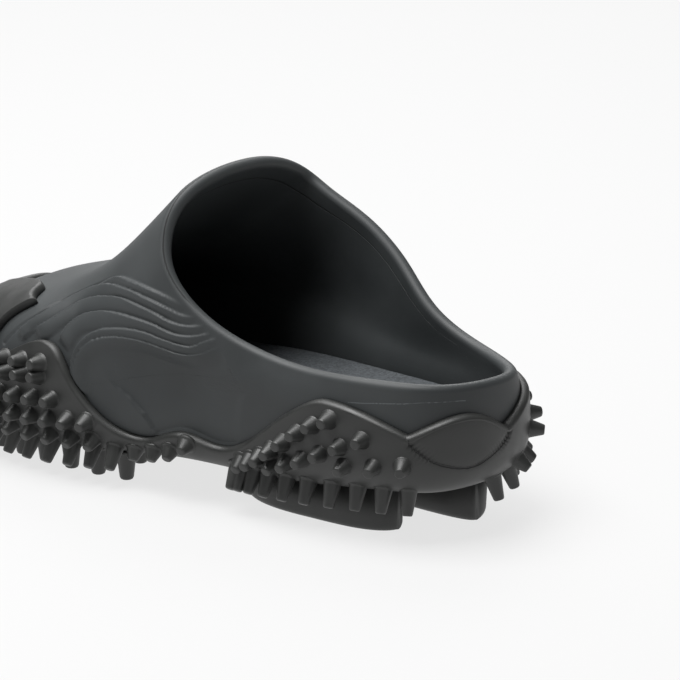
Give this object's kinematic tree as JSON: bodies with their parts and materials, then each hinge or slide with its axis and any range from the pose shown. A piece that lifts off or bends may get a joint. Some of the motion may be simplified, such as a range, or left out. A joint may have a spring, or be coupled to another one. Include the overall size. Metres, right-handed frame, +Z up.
{
  "type": "sneaker mule",
  "caption": "Backless moulded foam mule for a left foot: a low heel rim, a collar that flares up at the instep, and a rubber cup sole with conical studs and two heel pads.",
  "frame": {"origin": "on the ground under the middle of the shoe's box", "axes": "+Y from heel to toe, +X to the inner side of the foot, +Z up from the ground"},
  "size_m": [0.121, 0.2814, 0.1137],
  "materials": {
    "moulded_foam": "closed-cell moulded foam, matte dark grey",
    "moulded_rubber": "moulded rubber, satin dark grey",
    "footbed_foam": "fine-grained moulded foam, matte grey"
  },
  "bodies": {
    "root": {"upper": "moulded_foam", "outsole": "moulded_rubber", "insole": "footbed_foam"}
  },
  "joints": []
}
